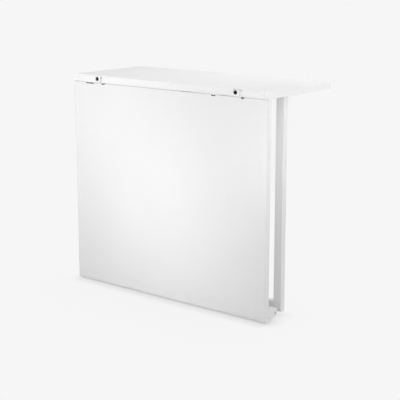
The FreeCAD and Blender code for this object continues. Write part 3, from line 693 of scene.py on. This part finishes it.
class StudioLooks(bpy.types.PropertyGroup):
    """Backdrop and camera."""

    backdrop: FloatVectorProperty(
        name="Backdrop", description="Colour of the floor and the space behind",
        default=(0.9216, 0.9216, 0.9216), size=3, min=0.0, max=1.0, subtype="COLOR")
    place: FloatVectorProperty(
        name="Camera", description="Place of the camera",
        default=(1.6661, -2.1549, 0.5553), size=3, subtype="XYZ", unit="LENGTH", precision=4)
    turn: FloatProperty(
        name="Turn", description="Angle by which the camera is turned left from facing the wall",
        default=math.radians(39.293), subtype="ANGLE", unit="ROTATION")
    tilt: FloatProperty(
        name="Tilt", description="Angle by which the camera looks down",
        default=math.radians(12.615), subtype="ANGLE", unit="ROTATION")
    lens: FloatProperty(
        name="Lens", description="Focal length of the camera in millimetres",
        default=97.21, min=20.0, max=300.0)


# ------------------------------------------------------------------ stage

# camera: width of its sensor in millimetres, and the nearest and farthest that it sees
SENSOR = 36.0
CLIP_NEAR, CLIP_FAR = 0.05, 200.0

# floor: half its width, the points along it, how far it lies under the table's lowest point, and
# the grey that throws light back up
FLOOR_HALF, FLOOR_POINTS, FLOOR_DROP = 40.0, 9, 0.3 * MM
FLOOR_GREY = 0.35
# shade on the floor: reach of the near one, what is left of the colour in it and out of it, and
# reach and share of the wide one
NEAR_REACH, NEAR_DEEP, NEAR_NONE = 0.035, 0.62, 0.96
WIDE_REACH, WIDE_SHARE = 0.25, 0.04

# lamps: name, place, aim, width, height, spread of the beam in degrees, watts
LAMPS = (
    ("left front panel", (-0.50, -1.05, 0.40), (-0.10, -0.25, 0.10), 0.70, 0.60, 180.0, 4.50),
    ("right front panel", (0.90, -1.00, 0.50), (0.20, -0.22, 0.10), 0.70, 0.60, 180.0, 2.85),
    ("right close panel", (0.62, -0.42, 0.22), (0.28, -0.20, 0.15), 0.20, 0.30, 180.0, 0.26),
    ("stile beam", (0.85, -1.15, -0.10), (0.30, -0.20, 0.16), 0.20, 0.20, 16.0, 0.024),
    ("shelf end beam", (1.25, 0.40, 0.30), (0.30, 0.02, 0.262), 0.20, 0.20, 26.0, 0.056),
    ("low leaf beam", (0.00, -1.70, 0.00), (0.02, -0.25, -0.07), 0.40, 0.40, 22.0, 0.114),
    ("high leaf beam", (-0.20, -1.50, 0.50), (-0.12, -0.25, 0.14), 0.40, 0.40, 30.0, 0.080),
    ("top panel", (0.10, 0.10, 1.10), (0.05, -0.12, 0.27), 0.50, 0.40, 180.0, 2.35),
    ("back top panel", (0.40, 0.90, 0.90), (0.10, -0.12, 0.27), 0.80, 0.50, 180.0, 5.20),
)

# sky: its even strength, and the direction and strength of each lobe
SKY_EVEN = 0.27
SKY_LOBES = (
    ((0.0, -1.0, 0.0), 0.27),
    ((1.0, 0.0, 0.0), 1.16),
)


def add_lamp(name, place, aim, width, height, beam, watts):
    """Rectangular area lamp at a place, facing a point."""
    data = bpy.data.lights.new(name, "AREA")
    data.shape = "RECTANGLE"
    data.spread = math.radians(beam)
    data.size, data.size_y, data.energy = width, height, watts
    lamp = bpy.data.objects.new(name, data)
    bpy.context.scene.collection.objects.link(lamp)
    lamp.location = place
    lamp.rotation_euler = (Vector(aim) - Vector(place)).to_track_quat("-Z", "Y").to_euler()
    lamp.visible_camera = False


def seen_share(tree):
    """1 for rays that show the backdrop itself: from the camera, a gloss or a glass."""
    path = node(tree, "ShaderNodeLightPath")
    both = node(tree, "ShaderNodeMath", operation="MAXIMUM")
    tree.links.new(path.outputs["Is Camera Ray"], both.inputs[0])
    tree.links.new(path.outputs["Is Glossy Ray"], both.inputs[1])
    every = node(tree, "ShaderNodeMath", operation="MAXIMUM")
    tree.links.new(both.outputs[0], every.inputs[0])
    tree.links.new(path.outputs["Is Transmission Ray"], every.inputs[1])
    return every.outputs[0]


def floor_material(colour):
    """Pale floor: the backdrop's own colour, darker where the object stands close over it."""
    made = bpy.data.materials.new("studio floor")
    made.use_nodes = True
    tree = made.node_tree
    tree.nodes.clear()
    out = node(tree, "ShaderNodeOutputMaterial")
    near = node(tree, "ShaderNodeAmbientOcclusion", samples=8)
    near.inputs["Distance"].default_value = NEAR_REACH
    wide = node(tree, "ShaderNodeAmbientOcclusion", samples=8)
    wide.inputs["Distance"].default_value = WIDE_REACH
    shade = spread(tree, near.outputs["AO"], low=NEAR_DEEP, high=NEAR_NONE, start=0.0, end=1.0)
    light = total(tree, shade, wide.outputs["AO"], WIDE_SHARE)
    glow = node(tree, "ShaderNodeEmission")
    glow.inputs["Color"].default_value = (*colour, 1.0)
    tree.links.new(light, glow.inputs["Strength"])
    matt = node(tree, "ShaderNodeBsdfDiffuse")
    put(tree, (FLOOR_GREY, FLOOR_GREY, FLOOR_GREY), matt.inputs["Color"])
    mix = node(tree, "ShaderNodeMixShader")
    tree.links.new(seen_share(tree), mix.inputs["Fac"])
    tree.links.new(matt.outputs[0], mix.inputs[1])
    tree.links.new(glow.outputs[0], mix.inputs[2])
    tree.links.new(mix.outputs[0], out.inputs["Surface"])
    return made


def add_world(colour):
    """World that shows the backdrop's colour, and lights softly, more from the front and the right.

    The strength in a direction d is an even share plus, for each lobe, its share times the part
    of d along the lobe's own direction where that is positive.
    """
    world = bpy.data.worlds.new("studio")
    bpy.context.scene.world = world
    world.use_nodes = True
    tree = world.node_tree
    tree.nodes.clear()
    out = node(tree, "ShaderNodeOutputWorld")
    shown = node(tree, "ShaderNodeBackground")
    shown.inputs["Color"].default_value = (*colour, 1.0)
    place = node(tree, "ShaderNodeTexCoord")
    sky = SKY_EVEN
    for direction, share in SKY_LOBES:
        along = node(tree, "ShaderNodeVectorMath", operation="DOT_PRODUCT")
        along.inputs[1].default_value = direction
        tree.links.new(place.outputs["Generated"], along.inputs[0])
        ahead = node(tree, "ShaderNodeMath", operation="MAXIMUM")
        ahead.inputs[1].default_value = 0.0
        tree.links.new(along.outputs["Value"], ahead.inputs[0])
        sky = total(tree, sky, ahead.outputs[0], share)
    light = node(tree, "ShaderNodeBackground")
    tree.links.new(sky, light.inputs["Strength"])
    mix = node(tree, "ShaderNodeMixShader")
    tree.links.new(seen_share(tree), mix.inputs["Fac"])
    tree.links.new(light.outputs[0], mix.inputs[1])
    tree.links.new(shown.outputs[0], mix.inputs[2])
    tree.links.new(mix.outputs[0], out.inputs["Surface"])


def add_floor(colour):
    """Wide square floor, just under the lowest point of the table."""
    line = np.linspace(-FLOOR_HALF, FLOOR_HALF, FLOOR_POINTS)
    x, y = np.meshgrid(line, line, indexing="ij")
    points, faces = sheet(x, y, np.full_like(x, CAD_LOW.z - FLOOR_DROP))
    mesh = bpy.data.meshes.new("floor")
    mesh.from_pydata(points.tolist(), [], faces.tolist())
    floor = bpy.data.objects.new("floor", mesh)
    bpy.context.scene.collection.objects.link(floor)
    mesh.materials.append(floor_material(colour))


def add_camera(looks):
    """Camera to the front and the right of the table, looking slightly down."""
    data = bpy.data.cameras.new("camera")
    data.sensor_width = SENSOR
    data.lens = looks.lens
    data.clip_start, data.clip_end = CLIP_NEAR, CLIP_FAR
    camera = bpy.data.objects.new("camera", data)
    bpy.context.scene.collection.objects.link(camera)
    camera.location = looks.place
    camera.rotation_euler = (math.radians(90.0) - looks.tilt, 0.0, looks.turn)
    bpy.context.scene.camera = camera


class TABLE_OT_stage(bpy.types.Operator):
    """Add the floor, the lamps, the world and the camera"""

    bl_idname = "drop_leaf.stage"
    bl_label = "Stage"

    def execute(self, context):
        looks = context.scene.table_studio
        colour = tuple(looks.backdrop)
        add_floor(colour)
        add_world(colour)
        for row in LAMPS:
            add_lamp(*row)
        add_camera(looks)
        context.scene.view_settings.view_transform = "Standard"
        return {"FINISHED"}


# ------------------------------------------------------------------ table pieces

class TABLE_OT_boards(bpy.types.Operator):
    """Finish the shelf, the leaf, the lip and their edging"""

    bl_idname = "drop_leaf.boards"
    bl_label = "Boards and edging"

    def execute(self, context):
        looks = context.scene.table_looks
        board, edge, band = tuple(looks.board), tuple(looks.edge), tuple(looks.band)
        shelf_lines = (("X", SHELF_HIGH.x, *GLUE_LINE),)
        leaf_lines = (
            ("X", LEAF_HIGH.x, *GLUE_LINE),
            # painted shade along the gap under the shelf
            ("Z", LEAF_HIGH.z - SEAM_SHADE_LINE[0], *SEAM_SHADE_LINE),
        )
        give(("shelf_board",), foil_finish("shelf foil", board, shelf_lines))
        # painted shade in narrow gaps on the leaf and the edging, and in the leaf's notches
        give(("leaf_board", "leaf_lip"),
             foil_finish("leaf foil", board, leaf_lines, seam_shade=True, notch_shade=True))
        give(("shelf_front_band", "shelf_end_strips"),
             foil_finish("shelf edging", edge, shelf_lines, seam_shade=True))
        give(("leaf_side_bands",), foil_finish("leaf edging", band, leaf_lines, seam_shade=True))
        return {"FINISHED"}


def frame_beads(leg):
    """Weld beads of the wall frame: post to foot plate, rail, top plate and arm, plate to rail.

    The beads in corners have the given leg.  Those between plate and rail lie flat under both,
    and start where the post's own beads end.
    """
    half, back, front = POST_HIGH.x, POST_HIGH.y, POST_LOW.y
    under, wall = PLATE_LOW.z, RAIL_LOW.y
    up, down, forth, aft = (0.0, 0.0, 1.0), (0.0, 0.0, -1.0), (0.0, -1.0, 0.0), (0.0, 1.0, 0.0)
    lines = [
        ((-half, front, under), (half, front, under), forth, down),
        ((-half, front, ARM_HIGH.z), (half, front, ARM_HIGH.z), forth, up),
    ]
    beads = []
    for s in (-1.0, 1.0):
        x, side = s * half, (s, 0.0, 0.0)
        lines += [
            ((x, back, FOOT_LOW.z), (x, back, FOOT_HIGH.z), side, forth),
            ((x, back, RAIL_LOW.z), (x, back, under), side, forth),
            ((x, back, under), (x, wall, under), side, down),
        ]
        start, end = (x + s * 2.0 * leg, wall, under), (s * PLATE_HIGH.x, wall, under)
        beads.append(bead(start, end, forth, aft, BUTT_LEG, BUTT_BULGE, down))
    return [bead(*line, leg, WELD_BULGE) for line in lines] + beads


def gate_beads(leg):
    """Dressed beads on the gate's two mitres, on both faces, and in its two inner corners.

    A mitre runs at 45 degrees from the inner corner of a stile and the rail to the outer one.
    """
    beads = []
    low, high = GATE_LOW.z, GATE_HIGH.z
    slant = math.sqrt(0.5)
    up, forth, aft = (0.0, 0.0, 1.0), (0.0, -1.0, 0.0), (0.0, 1.0, 0.0)
    for s, inner, outer in ((-1.0, OUTER_LOW.x, OUTER_HIGH.x), (1.0, INNER_HIGH.x, INNER_LOW.x)):
        run = np.array((-s * slant, 0.0, -slant))
        across = np.array((slant, 0.0, -s * slant))
        for y, out in ((OUTER_LOW.y, forth), (OUTER_HIGH.y, aft)):
            start = np.array((inner, y, high)) + run * MITRE_IN
            end = np.array((outer, y, low)) - run * MITRE_IN
            beads.append(bead(start, end, across, -across, leg, MITRE_BULGE, out))
        start = (inner, OUTER_LOW.y + MITRE_IN, high)
        end = (inner, OUTER_HIGH.y - MITRE_IN, high)
        beads.append(bead(start, end, (s, 0.0, 0.0), up, INNER_LEG, INNER_BULGE))
    return beads


class TABLE_OT_steel(bpy.types.Operator):
    """Finish the wall frame and the gate with powder coat, and add their weld beads"""

    bl_idname = "drop_leaf.steel"
    bl_label = "Steel frame and gate"

    def execute(self, context):
        looks = context.scene.table_looks
        coat = coat_finish("powder coat", tuple(looks.coat))
        give(("wall_rail", "wall_foot_plate", "wall_post", "top_plate", "foot_arm",
              "gate_outer_stile", "gate_pivot_stile", "gate_rail"), coat)
        add_piece("frame_welds", frame_beads(looks.weld), coat, "frame")
        add_piece("gate_welds", gate_beads(looks.mitre), coat, "gate")
        return {"FINISHED"}


class TABLE_OT_mouldings(bpy.types.Operator):
    """Finish the caps, plugs, hinges and the rest block"""

    bl_idname = "drop_leaf.mouldings"
    bl_label = "Mouldings"

    def execute(self, context):
        looks = context.scene.table_looks
        white = moulded_finish("white moulding", tuple(looks.moulded))
        give(("post_plug", "lip_cap_left", "lip_cap_right", "rest_block", "gate_stile_cap",
              "hinge_body_left", "hinge_body_right", "hinge_flap_left", "hinge_flap_right"), white)
        black = moulded_finish("black moulding", tuple(looks.dark), roughness=0.5)
        give(("hinge_sleeve_left", "hinge_sleeve_right"), black)
        collars = []
        for side in ("left", "right"):
            low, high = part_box("hinge_sleeve_" + side)
            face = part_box("hinge_body_" + side)[0].y
            eye = ((low.x + high.x) / 2.0, face, (low.z + high.z) / 2.0)
            collars.append(collar(eye, looks.collar))
        add_piece("hinge_sleeve_flanges", collars, black, "frame")
        return {"FINISHED"}


class TABLE_OT_bearings(bpy.types.Operator):
    """Finish the pins, bushes and washers"""

    bl_idname = "drop_leaf.bearings"
    bl_label = "Pins and bushes"

    def execute(self, context):
        looks = context.scene.table_looks
        give(("gate_pin_upper", "gate_pin_lower", "hinge_pin_left", "hinge_pin_right"),
             zinc_finish("zinc pin", tuple(looks.zinc)))
        give(("thrust_washers", "gate_bush_upper", "gate_bush_lower"),
             nylon_finish("natural nylon", tuple(looks.nylon)))
        return {"FINISHED"}


class TABLE_OT_screws(bpy.types.Operator):
    """Replace the plain screws by cross head screws"""

    bl_idname = "drop_leaf.screws"
    bl_label = "Screws"

    def execute(self, context):
        zinc = zinc_finish("zinc screw", tuple(context.scene.table_looks.zinc))
        up, forth, side = (0.0, 0.0, 1.0), (0.0, -1.0, 0.0), (1.0, 0.0, 0.0)
        for name, body, way, size, head in (
                ("frame_screws", "frame", up, FRAME_SCREW, PAN_HEAD),
                ("hinge_screws_shelf", "frame", up, WOOD_SCREW, PAN_HEAD),
                ("hinge_screws_leaf", "leaf", forth, WOOD_SCREW, PAN_HEAD),
                ("rest_block_screws", "leaf", forth, WOOD_SCREW, PAN_HEAD),
                ("lip_cap_screws", "leaf", side, CAP_SCREW, FLAT_HEAD)):
            screws = screws_in(name, way, size, head)
            add_piece("cross_head_" + name, screws, zinc, body, (name,))
        return {"FINISHED"}


OPERATORS = (
    TABLE_OT_stage,
    TABLE_OT_boards,
    TABLE_OT_steel,
    TABLE_OT_mouldings,
    TABLE_OT_bearings,
    TABLE_OT_screws,
)


class TABLE_PT_side(bpy.types.Panel):
    """Buttons for every part of the table"""

    bl_idname = "TABLE_PT_side"
    bl_label = "Drop leaf table"
    bl_space_type = "VIEW_3D"
    bl_region_type = "UI"
    bl_category = "Table"

    def draw(self, context):
        for group in (context.scene.table_looks, context.scene.table_studio):
            box = self.layout.box()
            for key in group.__annotations__:
                box.prop(group, key)
        for made in OPERATORS:
            self.layout.operator(made.bl_idname)


CLASSES = (TableLooks, StudioLooks, *OPERATORS, TABLE_PT_side)


def register():
    """Registers the classes and puts the two groups of properties on the scene."""
    for made in CLASSES:
        bpy.utils.register_class(made)
    bpy.types.Scene.table_looks = PointerProperty(type=TableLooks)
    bpy.types.Scene.table_studio = PointerProperty(type=StudioLooks)


def unregister():
    """Takes the properties and the classes away again."""
    del bpy.types.Scene.table_studio
    del bpy.types.Scene.table_looks
    for made in reversed(CLASSES):
        bpy.utils.unregister_class(made)


def main():
    register()
    bpy.ops.drop_leaf.stage()
    bpy.ops.drop_leaf.boards()
    bpy.ops.drop_leaf.steel()
    bpy.ops.drop_leaf.mouldings()
    bpy.ops.drop_leaf.bearings()
    bpy.ops.drop_leaf.screws()


if __name__ == "__main__":
    main()
